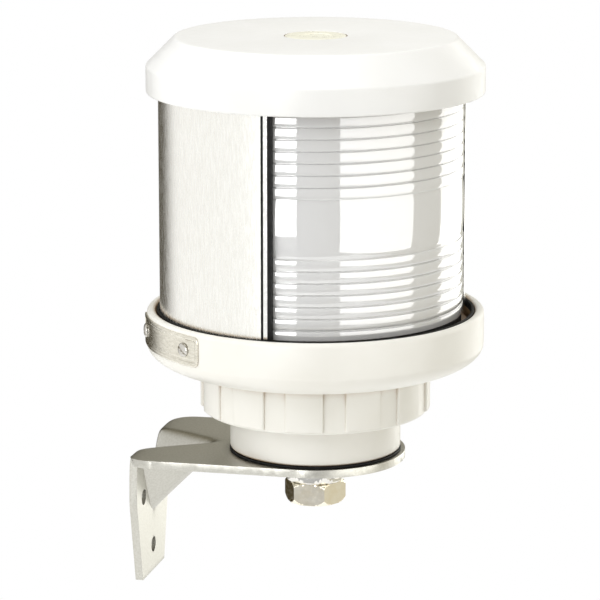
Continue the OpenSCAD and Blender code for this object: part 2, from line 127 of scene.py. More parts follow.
def arc(centre, radii, start, end, steps=12):
    """Points along an ellipse's arc, from start to end degrees."""
    return [(centre[0] + radii[0] * cos(radians(start + (end - start) * i / steps)),
             centre[1] + radii[1] * sin(radians(start + (end - start) * i / steps)))
            for i in range(steps + 1)]


def turned_into(bm, outline, start=0.0, sweep=360.0, steps=240):
    """Adds the solid that a closed (r, h) outline makes when it turns about the light's axis."""
    whole = sweep >= 360
    rows = steps if whole else steps + 1
    rings = [[bm.verts.new(at(r, start + sweep * i / steps, h)) for r, h in outline]
             for i in range(rows)]
    count = len(outline)
    for i in range(steps):
        near, far = rings[i], rings[(i + 1) % rows]
        for k in range(count):
            bm.faces.new([near[k], near[(k + 1) % count], far[(k + 1) % count], far[k]])
    if not whole:
        bm.faces.new(rings[0])
        bm.faces.new(list(reversed(rings[-1])))


def turned(name, outline, start=0.0, sweep=360.0, steps=240, sharp=32.0):
    """A piece made by turning one closed (r, h) outline about the light's axis."""
    bm = bmesh.new()
    turned_into(bm, outline, start, sweep, steps)
    return finish_mesh(name, bm, sharp)


def place(piece, body, material, slot, *nodes):
    """Gives a piece its material, hangs it on its body, and hides the nodes that it replaces."""
    piece.data.materials.clear()
    piece.data.materials.append(material)
    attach(piece, body)
    if nodes:
        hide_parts(*nodes)
    return piece


# ---------------------------------------------------------------- materials

def color_sockets(sockets):
    """A Mix node's colour sockets; the node also has sockets for numbers and vectors."""
    return [socket for socket in sockets if socket.type == "RGBA"]


class Shader:
    """A Principled material and the few kinds of node that the materials below share."""

    def __init__(self, name, color, roughness, metallic=0.0, **sockets):
        self.material = bpy.data.materials.new(name)
        self.material.use_nodes = True
        self.nodes = self.material.node_tree.nodes
        self.links = self.material.node_tree.links
        self.surface = self.nodes["Principled BSDF"]
        self.coords = self.nodes.new("ShaderNodeTexCoord")
        self.surface.inputs["Base Color"].default_value = (*color, 1)
        self.surface.inputs["Roughness"].default_value = roughness
        self.surface.inputs["Metallic"].default_value = metallic
        for socket, value in sockets.items():
            self.surface.inputs[socket.replace("_", " ")].default_value = value

    def noise(self, size, stretch=(1, 1, 1), detail=3.0):
        """Noise whose features are about size millimetres across."""
        mapping = self.nodes.new("ShaderNodeMapping")
        mapping.inputs["Scale"].default_value = stretch
        noise = self.nodes.new("ShaderNodeTexNoise")
        noise.inputs["Scale"].default_value = 1 / (size * MM)
        noise.inputs["Detail"].default_value = detail
        self.links.new(self.coords.outputs["Object"], mapping.inputs["Vector"])
        self.links.new(mapping.outputs["Vector"], noise.inputs["Vector"])
        return noise.outputs["Fac"]

    def between(self, source, low, high):
        """Spreads the middle of a noise over low to high."""
        spread = self.nodes.new("ShaderNodeMapRange")
        spread.inputs["From Min"].default_value = 0.35
        spread.inputs["From Max"].default_value = 0.65
        spread.inputs["To Min"].default_value = low
        spread.inputs["To Max"].default_value = high
        self.links.new(source, spread.inputs["Value"])
        return spread.outputs["Result"]

    def mix(self, factor, first, second):
        """A colour mix; each colour is a tuple or another node's output."""
        mix = self.nodes.new("ShaderNodeMix")
        mix.data_type = "RGBA"
        self.links.new(factor, mix.inputs["Factor"])
        for socket, value in zip(color_sockets(mix.inputs), (first, second)):
            if isinstance(value, tuple):
                socket.default_value = (*value, 1)
            else:
                self.links.new(value, socket)
        return color_sockets(mix.outputs)[0]

    def shade_mask(self, reach):
        """An ambient-occlusion mask for painted shade: 1 in a gap narrower than reach millimetres, and 0 in
        the open.
        """
        occlusion = self.nodes.new("ShaderNodeAmbientOcclusion")
        occlusion.samples = 8
        occlusion.inputs["Distance"].default_value = reach * MM
        spread = self.nodes.new("ShaderNodeMapRange")
        spread.inputs["From Min"].default_value = 0.75
        spread.inputs["From Max"].default_value = 0.2
        self.links.new(occlusion.outputs["AO"], spread.inputs["Value"])
        return spread.outputs["Result"]

    def color(self, source):
        self.links.new(source, self.surface.inputs["Base Color"])

    def roughness(self, source):
        self.links.new(source, self.surface.inputs["Roughness"])

    def bump(self, source, depth, strength=0.5):
        """Raises the surface by up to depth millimetres."""
        bump = self.nodes.new("ShaderNodeBump")
        bump.inputs["Distance"].default_value = depth * MM
        bump.inputs["Strength"].default_value = strength
        self.links.new(source, bump.inputs["Height"])
        self.links.new(bump.outputs["Normal"], self.surface.inputs["Normal"])


# How far the plastics' painted shade reaches into gaps, in millimetres.
SHADE_REACH = 9.0
GROOVE_REACH = 1.5


def moulded_plastic(name, color, shade, painted_shade, roughness=0.36):
    """Satin plastic: slow cloudiness, a fine moulded texture, and warm painted shade in its gaps."""
    shader = Shader(name, color, roughness, Coat_Weight=0.15, Coat_Roughness=0.25)
    cloud = shader.mix(shader.between(shader.noise(26), 0, 1), color, shade)
    # Painted shade: the last colour is laid warm into gaps by the occlusion mask.
    shader.color(shader.mix(shader.shade_mask(SHADE_REACH), cloud, painted_shade))
    shader.roughness(shader.between(shader.noise(3.5), roughness - 0.05, roughness + 0.07))
    shader.bump(shader.noise(0.55, detail=2), 0.03, 0.35)
    return shader.material


def sheet_steel(name, color, shade, roughness, grain, gap_shade=None, reach=0.0):
    """Satin sheet: a fine drawn grain, clouded tone, and painted shade in gaps up to reach millimetres."""
    shader = Shader(name, color, roughness, metallic=1.0)
    drawn = shader.noise(0.9, grain, 4)
    tone = shader.mix(shader.between(drawn, 0, 1), color, shade)
    cloud = shader.mix(shader.between(shader.noise(30, detail=1), 0, 0.25), tone, shade)
    # Painted shade: the dark colour given last is laid into gaps by the occlusion mask.
    shader.color(shader.mix(shader.shade_mask(reach), cloud, gap_shade) if gap_shade else cloud)
    shader.roughness(shader.between(shader.noise(0.8, grain), roughness - 0.04, roughness + 0.05))
    shader.bump(drawn, 0.012, 0.25)
    return shader.material


def bright_metal(name, color, shade, roughness):
    """Plated or turned metal with faint marks."""
    shader = Shader(name, color, roughness, metallic=1.0)
    shader.color(shader.mix(shader.between(shader.noise(5), 0, 1), color, shade))
    shader.roughness(shader.between(shader.noise(1.6), roughness * 0.7, roughness * 1.5))
    shader.bump(shader.noise(0.8), 0.01, 0.25)
    return shader.material


def black_rubber(name, color=(0.004, 0.004, 0.004), roughness=0.6):
    """Dull rubber or dark plastic with a little dust on it."""
    shader = Shader(name, color, roughness, Specular_IOR_Level=0.2)
    dusty = tuple(3 * channel + 0.004 for channel in color)
    shader.color(shader.mix(shader.between(shader.noise(4), 0, 0.5), color, dusty))
    shader.roughness(shader.between(shader.noise(1.5), roughness - 0.12, roughness + 0.1))
    shader.bump(shader.noise(0.4), 0.03, 0.4)
    return shader.material


def clear_glass(name, color, groove, roughness, ior, ripple, **sockets):
    """Moulded or blown glass, with a slight ripple and painted shade in its grooves."""
    shader = Shader(name, color, roughness, IOR=ior, **sockets)
    pale = tuple(min(1, channel * 1.02) for channel in color)
    clear = shader.mix(shader.between(shader.noise(20), 0, 1), color, pale)
    # Painted shade: the groove colour is laid into the grooves by the occlusion mask.
    shader.color(shader.mix(shader.shade_mask(GROOVE_REACH), clear, groove))
    shader.roughness(shader.between(shader.noise(9), roughness * 0.6, roughness * 1.4))
    shader.bump(shader.noise(9, detail=1), ripple, 0.4)
    return shader.material


# The last colour given to each plastic is warm painted shade for its gaps.
PLASTIC = moulded_plastic("housing_plastic", (0.84, 0.828, 0.775), (0.81, 0.795, 0.735),
                          (0.36, 0.22, 0.10))
LID_PLASTIC = moulded_plastic("lid_plastic", (0.85, 0.85, 0.835), (0.83, 0.83, 0.81), (0.34, 0.22, 0.11))
PLUG = moulded_plastic("plug_plastic", (0.86, 0.85, 0.72), (0.82, 0.80, 0.66), (0.34, 0.25, 0.14), 0.3)
CERAMIC = moulded_plastic("glazed_ceramic", (0.80, 0.78, 0.71), (0.76, 0.73, 0.65), (0.3, 0.24, 0.17),
                          0.18)
# Painted shade: near-black laid into gaps within 9 mm of the sheet, such as beside the foot.
BRACKET = sheet_steel("bracket_steel", (0.60, 0.592, 0.545), (0.52, 0.51, 0.46), 0.34, (1, 1, 1),
                      (0.05, 0.045, 0.035), 9.0)
SHIELD = sheet_steel("shield_steel", (0.97, 0.965, 0.93), (0.90, 0.89, 0.85), 0.26, (1, 1, 0.16))
# Painted shade: near-black laid into gaps within 1.2 mm, in the border's groove and round the screws.
NAMEPLATE = sheet_steel("nameplate_steel", (0.86, 0.83, 0.74), (0.72, 0.69, 0.60), 0.24, (0.3, 0.3, 1),
                        (0.05, 0.04, 0.03), 1.2)
SCREW = bright_metal("screw_steel", (0.74, 0.72, 0.68), (0.6, 0.58, 0.54), 0.2)
EDGE = bright_metal("edge_steel", (0.95, 0.95, 0.93), (0.88, 0.88, 0.86), 0.16)
CHROME = bright_metal("gland_chrome", (0.84, 0.83, 0.79), (0.77, 0.75, 0.71), 0.1)
NICKEL = bright_metal("gland_nickel", (0.98, 0.93, 0.80), (0.95, 0.88, 0.72), 0.1)
BRASS = bright_metal("contact_brass", (0.78, 0.57, 0.25), (0.62, 0.43, 0.18), 0.25)
TUNGSTEN = bright_metal("filament_wire", (0.32, 0.31, 0.3), (0.22, 0.21, 0.2), 0.35)
RUBBER = black_rubber("seal_rubber")
WASHER = black_rubber("washer_plastic", (0.03, 0.03, 0.03), 0.4)
SLEEVE = black_rubber("wire_sleeve", (0.10, 0.055, 0.03), 0.6)
# The third colour given to each glass is painted shade for its grooves.
LENS = clear_glass("lens_clear", (0.93, 0.932, 0.93), (0.38, 0.38, 0.38), 0.06, 1.49, 0.05,
                   Transmission_Weight=0.3, Coat_Weight=1.0, Coat_IOR=2.6, Coat_Roughness=0.02)
BULB = clear_glass("bulb_glass", (0.98, 0.98, 0.98), (0.9, 0.9, 0.9), 0.01, 1.45, 0.02,
                   Transmission_Weight=1.0)
BY_SLOT = {
    "bracket_steel": BRACKET, "shield_steel": SHIELD, "plate_steel": NAMEPLATE, "edge_steel": EDGE,
    "screw_steel": SCREW, "housing_plastic": PLASTIC, "plug_plastic": PLUG, "seal_rubber": RUBBER,
    "washer_plastic": WASHER, "lens_clear": LENS, "bulb_glass": BULB, "gland_chrome": CHROME,
    "gland_nickel": NICKEL, "contact_brass": BRASS, "ceramic": CERAMIC, "wire_sleeve": SLEEVE,
    "filament": TUNGSTEN,
}


# ---------------------------------------------------------------- foot and union ring

FOOT_WALL = 6.4
FOOT_FLOOR = 7.0
FOOT_FLANGE = (23.3, 27.1)
FOOT_GROOVE = (29.6, 32.0)
GROOVE_DEPTH = 1.4
SPIGOT_INSET = 5.2
GASKET_SHOWS = 0.2
GLAND_HOLE_R = 10.25
GASKET_HOLE_R = 10.9


def make_foot():
    """The barrel with its flange and grooved spigot, and the gasket that it stands on."""
    low, high = span("foot")
    flange, gasket = radius("foot"), radius("foot_gasket")
    barrel, spigot = gasket - GASKET_SHOWS, flange - SPIGOT_INSET
    bore, groove = barrel - FOOT_WALL, spigot - GROOVE_DEPTH
    outline = rounded([
        (GLAND_HOLE_R, low), (barrel, low, 1.2), (barrel, FOOT_FLANGE[0], 0.4),
        (flange, FOOT_FLANGE[0], 0.4), (flange, FOOT_FLANGE[1], 0.4), (spigot, FOOT_FLANGE[1], 0.3),
        (spigot, FOOT_GROOVE[0]),
        (groove, FOOT_GROOVE[0]), (groove, FOOT_GROOVE[1]), (spigot, FOOT_GROOVE[1]), (spigot, high, 0.8),
        (bore, high, 0.5), (bore, FOOT_FLOOR, 1.5), (GLAND_HOLE_R, FOOT_FLOOR, 0.4)])
    place(turned("foot_body", outline), "base", PLASTIC, "housing_plastic", "foot")
    gasket_low, gasket_high = span("foot_gasket")
    pad = rounded([(GASKET_HOLE_R, gasket_low), (gasket, gasket_low, 0.3), (gasket, gasket_high, 0.4),
                   (GASKET_HOLE_R, gasket_high)])
    place(turned("foot_gasket_pad", pad), "base", RUBBER, "seal_rubber", "foot_gasket")


PADS = 12
PAD_ANGLE = 19.0
PAD_OFFSET = 7.5
PAD_HEIGHT = 1.2
PAD_START = 1.15
PAD_RISE = ((0.0, 0.0), (0.12, 0.5), (0.3, 0.8), (0.55, 0.95), (0.85, 1.0))
RING_LIP_R = 37.8
RING_LIP = 4.0
RING_BORE_R = 46.3


def pad_stations():
    """Directions round the ring, each with how far the pad is raised there, from 0 to 1."""
    stations = []
    for i in range(PADS):
        middle = PAD_OFFSET + i * 360 / PADS
        half = PAD_ANGLE / 2
        stations += [(middle - half + turn, rise) for turn, rise in PAD_RISE]
        stations += [(middle + half * k / 4, 1.0) for k in range(-3, 4)]
        stations += [(middle + half - turn, rise) for turn, rise in reversed(PAD_RISE)]
        gap = 360 / PADS - PAD_ANGLE
        stations += [(middle + half + gap * k / 5, 0.0) for k in range(1, 5)]
    return stations


def make_union_ring():
    """The ring's section, swept round with its pads raised and its gaps at the base's radius."""
    low, high = span("union_ring")
    base = radius("union_ring") - PAD_HEIGHT
    bm = bmesh.new()
    rings = []
    for angle, rise in pad_stations():
        r, fillet = base + PAD_HEIGHT * rise, 0.5 * rise
        outline = rounded([(RING_LIP_R, low, 0.5), (base, low, 0.9), (base, low + 1.1)], 4)[:-1]
        outline += [(base, low + 1.05)]
        outline += arc((r - fillet, low + PAD_START + fillet), (fillet, fillet), 270, 360, 5)
        outline += arc((r - 0.7, high - 0.9), (0.7, 0.7), 0, 90, 6)
        outline += [(RING_BORE_R + 0.5, high - 0.2), (RING_BORE_R, high - 0.7),
                    (RING_BORE_R, low + RING_LIP), (RING_LIP_R, low + RING_LIP)]
        rings.append([bm.verts.new(at(x, angle, h)) for x, h in outline])
    for i, near in enumerate(rings):
        far = rings[(i + 1) % len(rings)]
        for k in range(len(near)):
            bm.faces.new([near[k], near[(k + 1) % len(near)], far[(k + 1) % len(near)], far[k]])
    place(finish_mesh("union_ring_body", bm), "ring", PLASTIC, "housing_plastic", "union_ring")


# ---------------------------------------------------------------- lantern

NECK_R = 46.0
NECK_BORE_R = 40.0
BOWL_UNDER = 9.1
BOWL_FLOOR = 13.8
BOWL_SIDE = 19.8
BOWL_CENTRE_R = 50.0
BOWL_BORE_R = 60.0
RIM_ROUND = 2.1
SEAL_SHELF = 3.5
LENS_SHELF = 6.5
SHIELD_SLOT = 9.5
SHIELD_FIT = 0.2
SEAT_BORE_R = 60.3
LIGHT_CENTRE = 109.7


def make_collar():
    """The bowl with its stepped rim, the seal in the rim and the seat under the lens."""
    low, high = span("collar")
    outer, shield, seat_r = radius("collar"), shield_radius(), radius("lens_seat")
    rim, slot, slot_bore = outer - 2 * RIM_ROUND, shield + SHIELD_FIT, shield - 1
    bottom, side, shelf = low + BOWL_UNDER, low + BOWL_SIDE, high - LENS_SHELF
    outline = [(NECK_BORE_R, low), (NECK_R - 0.8, low), (NECK_R, low + 0.8), (NECK_R, bottom)]
    outline += arc((BOWL_CENTRE_R, side), (outer - BOWL_CENTRE_R, side - bottom), 270, 360, 24)
    outline += arc((outer - RIM_ROUND, high - RIM_ROUND), (RIM_ROUND, RIM_ROUND), 0, 180, 20)
    outline += rounded([(rim, high - SEAL_SHELF), (slot, high - SEAL_SHELF), (slot, high - SHIELD_SLOT),
                        (slot_bore, high - SHIELD_SLOT), (slot_bore, shelf, 0.4), (BOWL_BORE_R, shelf, 0.4),
                        (BOWL_BORE_R, low + BOWL_FLOOR, 1.8), (NECK_BORE_R, low + BOWL_FLOOR, 0.6)])
    place(turned("collar_bowl", outline), "head", PLASTIC, "housing_plastic", "collar")
    seal_low, seal_high = span("rim_seal")
    seal = rounded([(slot, seal_low), (rim, seal_low), (rim, seal_high, 0.4), (slot, seal_high, 0.4)])
    place(turned("rim_seal_ring", seal), "head", RUBBER, "seal_rubber", "rim_seal")
    seat_low, seat_high = span("lens_seat")
    seat = rounded([(SEAT_BORE_R, seat_low), (seat_r, seat_low), (seat_r, seat_high, 0.5),
                    (SEAT_BORE_R, seat_high, 0.3)])
    place(turned("lens_seat_ring", seat), "head", RUBBER, "seal_rubber", "lens_seat")


def shield_radius():
    """The shield's outer radius; its box isn't round, because the window cuts one side away."""
    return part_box("shield")[1].y / MM


LENS_BORE_R = 60.8
LENS_PLAIN_R = 63.4
BAND_HALF = 12.65
RIB_PITCH = 5.05
RIBS = 7
# One rib's section: how far it is in from the crest, and how far up the rib.
RIB_SECTION = ((0.75, 0.05), (0.62, 0.22), (0.1, 0.45), (0.0, 0.75), (0.05, 2.4), (0.2, 4.1), (0.42, 4.72),
               (0.75, RIB_PITCH - 0.05))


def lens_outline():
    """The lens's section: a smooth bore, and stepped ribs above and below a plain middle band."""
    low, high = span("lens")
    crest = radius("lens")
    upper = [(crest - inset, BAND_HALF + i * RIB_PITCH + rise)
             for i in range(RIBS) for inset, rise in RIB_SECTION]
    band = arc((LENS_PLAIN_R, 0), (crest - LENS_PLAIN_R, BAND_HALF - 0.4), -80, 80, 20)
    ribbed = [(r, LIGHT_CENTRE + h) for r, h in [(r, -h) for r, h in reversed(upper)] + band + upper]
    outline = [(LENS_BORE_R, low), (crest - 1.0, low)] + [(r, h) for r, h in ribbed if h > low + 0.1]
    return outline + [(LENS_PLAIN_R, high - 0.3), (LENS_PLAIN_R - 0.3, high), (LENS_BORE_R, high)]


def make_lens():
    """The lens, whole all the way round; the shield covers its back."""
    place(turned("lens_ribbed", lens_outline(), steps=300, sharp=24.0), "head", LENS, "lens_clear", "lens")


WINDOW_START = -96.6
WINDOW_END = 26.0
SHIELD_SHEET = 0.8
PROFILE_BACK_R = 64.6
PROFILE_FLOOR_R = 65.1
# Turns from the window's start, in degrees: the profile's width, then each lip's start and width.
PROFILE_TURN = 3.7
PROFILE_LIPS = ((0.0, 0.93), (2.42, 1.28))
STRIP_START = 0.95
STRIP_TURN = 1.45


def make_shield():
    """The sheet round the back of the lens, from one edge of the window to the other."""
    low, high = span("shield")
    outer = shield_radius()
    inner = outer - SHIELD_SHEET
    sheet = rounded([(inner, low), (outer, low), (outer, high, 0.2), (inner, high, 0.2)])
    place(turned("shield_sheet", sheet, WINDOW_END, 360 + WINDOW_START - WINDOW_END), "head",
          SHIELD, "shield_steel", "shield")


def make_window_edge():
    """A black profile that grips the shield's forward edge and carries a bright strip."""
    low, high = span("edge_seal")
    back, floor, outer = PROFILE_BACK_R, PROFILE_FLOOR_R, shield_radius()
    lip_r = outer - 0.3
    lip = rounded([(floor, low), (lip_r, low, 0.2), (lip_r, high, 0.2), (floor, high)])
    bm = bmesh.new()
    turned_into(bm, [(back, low), (floor, low), (floor, high), (back, high)], WINDOW_START, PROFILE_TURN, 8)
    for start, sweep in PROFILE_LIPS:
        turned_into(bm, lip, WINDOW_START + start, sweep, 6)
    place(finish_mesh("edge_profile", bm), "head", RUBBER, "seal_rubber", "edge_seal")
    low, high = span("cutoff_blade")
    strip = rounded([(floor, low), (outer, low, 0.2), (outer, high, 0.2), (floor, high)])
    place(turned("edge_strip", strip, WINDOW_START + STRIP_START, STRIP_TURN, 8), "head", EDGE,
          "edge_steel", "cutoff_blade")


# ---------------------------------------------------------------- lid

LID_RIM = 11.5
LID_SHELL = 3.0
LID_EDGE = 2.4
PLUG_RECESS_R = 13.6
PLUG_SEAL_R = 11.3
PLUG_HOLE_R = 9.0
PLUG_SHANK_R = 8.9
PLUG_RECESS = 1.0
PLUG_SEAL_STEP = 2.2
PLUG_BOSS = 6.3
SKIRT_R = (60.3, 64.8, 66.8)
SKIRT_H = (159.0, 162.5)


def make_lid():
    """The shell with its sloping shoulder and the skirt that holds the lens, and the plug in its top."""
    low, high = span("lid")
    outer = radius("lid")
    top, edge = outer - (high - low - LID_RIM), outer - LID_EDGE
    recess, ceiling, boss = high - PLUG_RECESS, high - LID_SHELL, high - PLUG_BOSS

    def flank(r):
        return high + top - r - LID_SHELL * sqrt(2)

    outline = rounded([
        (edge, low, 0.5), (outer, low, 0.8), (outer, low + LID_RIM, 1.6), (top, high, 2.2),
        (PLUG_RECESS_R, high, 0.35), (PLUG_RECESS_R, recess), (PLUG_SEAL_R, recess),
        (PLUG_SEAL_R, high - PLUG_SEAL_STEP), (PLUG_HOLE_R, high - PLUG_SEAL_STEP), (PLUG_HOLE_R, boss),
        (18, boss, 0.5), (19, ceiling, 1), (top - 1.2, ceiling, 2), (SKIRT_R[0], flank(SKIRT_R[0])),
        (SKIRT_R[0], SKIRT_H[1]), (SKIRT_R[1], SKIRT_H[1]), (SKIRT_R[1], SKIRT_H[0]),
        (SKIRT_R[2], SKIRT_H[0], 0.4), (SKIRT_R[2], flank(SKIRT_R[2]), 1), (edge, flank(edge), 1)], 6)
    place(turned("lid_shell", outline, steps=300), "head", LID_PLASTIC, "housing_plastic", "lid")
    plug_low, plug_high = span("lid_plug")
    plug_r = radius("lid_plug")
    plug = rounded([(0, plug_low), (PLUG_SHANK_R, plug_low, 0.6), (PLUG_SHANK_R, recess), (plug_r, recess),
                    (plug_r, plug_high, 0.55), (7.2, plug_high, 0.2), (7.0, plug_high - 0.25, 0.1),
                    (0, plug_high - 0.25)])
    place(turned("lid_plug_disc", plug, steps=160), "head", PLUG, "plug_plastic", "lid_plug")


# ---------------------------------------------------------------- nameplate

NAMEPLATE_ANGLE = -142.0
NAMEPLATE_HALF_TURN = 23.0
NAMEPLATE_SCREW = 16.0
NAMEPLATE_CORNER = 2.5
NAMEPLATE_SHEET = 0.42
BORDER_RISE = 0.34
BORDER_GROOVE = 0.3


def smooth(x, low, high):
    """0 below low, 1 above high, and an even curve between them."""
    t = min(1, max(0, (x - low) / (high - low)))
    return t * t * (3 - 2 * t)


def make_nameplate():
    """A blank curved plate with a raised border and a groove inside it."""
    low, high = span("nameplate")
    wall, middle, corner = radius("collar"), (low + high) / 2, NAMEPLATE_CORNER
    reach, tall = wall * radians(NAMEPLATE_HALF_TURN), (high - low) / 2
    columns, rows = 130, 30
    bm = bmesh.new()
    front, back = [], []
    for i in range(columns + 1):
        x = reach * (2 * i / columns - 1)
        over = max(0, abs(x) - reach + corner)
        y_max = tall - corner + sqrt(max(0, corner ** 2 - over ** 2))
        angle = NAMEPLATE_ANGLE + degrees(x / wall)
        front.append([])
        back.append([])
        for j in range(rows + 1):
            y = y_max * (2 * j / rows - 1)
            inset = min(tall - abs(y), reach - abs(x))
            if abs(x) > reach - corner and abs(y) > tall - corner:
                inset = corner - hypot(abs(x) - reach + corner, abs(y) - tall + corner)
            border = BORDER_RISE * (1 - smooth(inset, 1.5, 1.9)) - 0.2 * (1 - smooth(inset, 0, 0.3))
            groove = BORDER_GROOVE * (1 - smooth(abs(inset - 2.3), 0.35, 0.75))
            r = wall + NAMEPLATE_SHEET + border - groove
            front[-1].append(bm.verts.new(at(r, angle, middle + y)))
            back[-1].append(bm.verts.new(at(wall + 0.01, angle, middle + y)))
    for i in range(columns):
        for j in range(rows):
            for grid in (front, back):
                bm.faces.new([grid[i][j], grid[i + 1][j], grid[i + 1][j + 1], grid[i][j + 1]])
        for j in (0, rows):
            bm.faces.new([front[i][j], front[i + 1][j], back[i + 1][j], back[i][j]])
    for i in (0, columns):
        for j in range(rows):
            bm.faces.new([front[i][j], front[i][j + 1], back[i][j + 1], back[i][j]])
    place(finish_mesh("nameplate_blank", bm, 40), "head", NAMEPLATE, "plate_steel", "nameplate")


SCREW_HEAD_R = 3.05
SCREW_DOME = 1.1
SCREW_SHANK_R = 1.2
SCREW_LENGTH = 4.2
HEAD_EDGE = 0.25
SLOT_TURN = 0.6


def screw(bm, origin, axis):
    """A domed screw with a slot, its head standing out along axis from origin."""
    turn = axis.to_track_quat("Z", "Y").to_matrix().to_4x4()
    move = Matrix.Translation(origin) @ turn
    outline = [(0, -SCREW_LENGTH), (SCREW_SHANK_R, -SCREW_LENGTH), (SCREW_SHANK_R, 0), (SCREW_HEAD_R, 0)]
    outline += [(SCREW_HEAD_R * cos(radians(a)), HEAD_EDGE + SCREW_DOME * sin(radians(a)))
                for a in range(0, 85, 8)]
    outline += [(0, HEAD_EDGE + SCREW_DOME)]
    steps = 48
    rings = []
    for i in range(steps):
        a = 2 * pi * i / steps
        rings.append([bm.verts.new(move @ Vector((r * cos(a) * MM, r * sin(a) * MM,
                                                  (h - slot_depth(r * sin(a + SLOT_TURN), h)) * MM)))
                      for r, h in outline])
    for i in range(steps):
        near, far = rings[i], rings[(i + 1) % steps]
        for k in range(len(outline) - 1):
            bm.faces.new([near[k], near[k + 1], far[k + 1], far[k]])


def slot_depth(across, h):
    """How deep the slot is at a distance across it; the edge of the head has none."""
    return 0.5 * (1 - smooth(abs(across), 0.28, 0.42)) if h > 0.3 else 0.0


def make_nameplate_screws():
    """The two screws at the nameplate's ends."""
    low, high = span("nameplate")
    bm = bmesh.new()
    for side in (-1, 1):
        angle = NAMEPLATE_ANGLE + side * NAMEPLATE_SCREW
        foot = at(radius("collar") + 0.5, angle, (low + high) / 2)
        outward = at(100, angle, 0) - at(0, angle, 0)
        screw(bm, foot, outward.normalized())
    place(finish_mesh("nameplate_screw_pair", bm), "head", SCREW, "screw_steel", "nameplate_screws")


# ---------------------------------------------------------------- bracket

SHEET = 3.5
BEND = 5.0
PLATE_HALF = 39.5
FLANGE_HALF = 26.0
FLANGE_FOOT = 17.3
TAPER_DEPTH = 24.0
DENT_LEG = 32.0
DENT_HALF = 20.0
DENT_ROUND = 2.2
DENT_BLEND = 1.6
BEND_ROWS = (-12, 14)
HOLE_TURNS = (30, 150, 270)


def half_width(w):
    """Half the sheet's width at w, which runs down the flange (negative) and along the plate."""
    widening = PLATE_HALF - FLANGE_HALF
    if w > AXIS_X:
        return sqrt(max(0, PLATE_HALF ** 2 - (w - AXIS_X) ** 2))
    if w > widening:
        return PLATE_HALF
    if w > 0:
        return FLANGE_HALF + sqrt(widening ** 2 - (widening - w) ** 2)
    drop = flange_drop()
    return FLANGE_HALF - (FLANGE_HALF - FLANGE_FOOT) * max(0, -w - TAPER_DEPTH) / (drop - TAPER_DEPTH)


def flange_drop():
    """How far the flange hangs below the plate's upper face."""
    low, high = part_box("bracket")
    return (high.z - low.z) / MM


def dent_depth(y):
    """How far the dent reaches inward from the bend's corner, y off its middle."""
    crest = DENT_LEG * sqrt(0.5)
    slope = (crest + 1.5) / (DENT_HALF - 1)
    return crest + DENT_ROUND - sqrt((slope * y) ** 2 + DENT_ROUND ** 2)


def blended(first, second, soft):
    """The greater of two depths, rounded where they meet."""
    return (first + second + sqrt((first - second) ** 2 + soft ** 2)) / 2


def outer_skin(w, y):
    """A point on the bracket's outer face, as (x, y, height under the plate's top)."""
    p = w * sqrt(0.5)
    corner = BEND * (sqrt(2) - 1)
    depth = hypot(p, corner * 1.15) if abs(p) < 6 * corner else abs(p) + corner ** 2 * 0.66 / abs(p)
    depth = blended(depth, dent_depth(y), DENT_BLEND)
    return Vector(((p + depth) * sqrt(0.5), y, (p - depth) * sqrt(0.5)))


def bracket_rows():
    """Stations along the sheet, closer together at the bend and at the round end."""
    drop = flange_drop()
    low, high = BEND_ROWS
    flange = [-drop + (drop + low) * i / 30 for i in range(30)]
    bend = [low + (high - low) * i / 44 for i in range(44)]
    plate = [high + (AXIS_X - high) * i / 44 for i in range(45)]
    end = [AXIS_X + PLATE_HALF * sin(radians(90 * i / 44)) for i in range(1, 44)]
    return flange + bend + plate + end + [AXIS_X + PLATE_HALF - 0.002]


def make_bracket():
    """The pressed sheet: an outer skin with its dent, and an inner skin one sheet's thickness in."""
    columns, small = 64, 0.02
    bm = bmesh.new()
    outer, inner = [], []
    for w in bracket_rows():
        half = max(0.02, half_width(w))
        outer.append([])
        inner.append([])
        for j in range(columns + 1):
            y = half * sin(radians(90 * (2 * j / columns - 1)))
            here = outer_skin(w, y)
            along = outer_skin(w + small, y) - outer_skin(w - small, y)
            across = outer_skin(w, y + small) - outer_skin(w, y - small)
            inward = along.cross(across).normalized()
            inward = inward if inward.dot(Vector((1, 0, -1))) > 0 else -inward
            for grid, point in ((outer, here), (inner, here + inward * SHEET)):
                grid[-1].append(bm.verts.new((point.x * MM, point.y * MM, (PLATE_TOP + point.z) * MM)))
    rows = len(outer)
    for i in range(rows - 1):
        for j in range(columns):
            for grid in (outer, inner):
                bm.faces.new([grid[i][j], grid[i + 1][j], grid[i + 1][j + 1], grid[i][j + 1]])
        for j in (0, columns):
            bm.faces.new([outer[i][j], outer[i + 1][j], inner[i + 1][j], inner[i][j]])
    for i in (0, rows - 1):
        for j in range(columns):
            bm.faces.new([outer[i][j], outer[i][j + 1], inner[i][j + 1], inner[i][j]])
    sheet = finish_mesh("bracket_sheet", bm, 40)
    pattern = MOUNTS["wall_bolts"]["dims"]
    circle, hole = pattern["pcd_mm"] / 2, pattern["hole_r_mm"]
    for turn in HOLE_TURNS:
        bpy.ops.mesh.primitive_cylinder_add(
            vertices=64, radius=hole * MM, depth=4 * SHEET * MM, rotation=(0, pi / 2, 0),
            location=(0, circle * cos(radians(turn)) * MM, circle * sin(radians(turn)) * MM))
        cut(sheet, bpy.context.object)
    soften(sheet, 0.45)
    place(sheet, "base", BRACKET, "bracket_steel", "bracket")


def cut(piece, tool):
    """Takes the tool's shape out of the piece, then deletes the tool."""
    modifier = piece.modifiers.new("hole", "BOOLEAN")
    modifier.operation, modifier.object, modifier.solver = "DIFFERENCE", tool, "EXACT"
    bpy.context.view_layer.objects.active = piece
    bpy.ops.object.modifier_apply(modifier=modifier.name)
    bpy.data.objects.remove(tool, do_unlink=True)


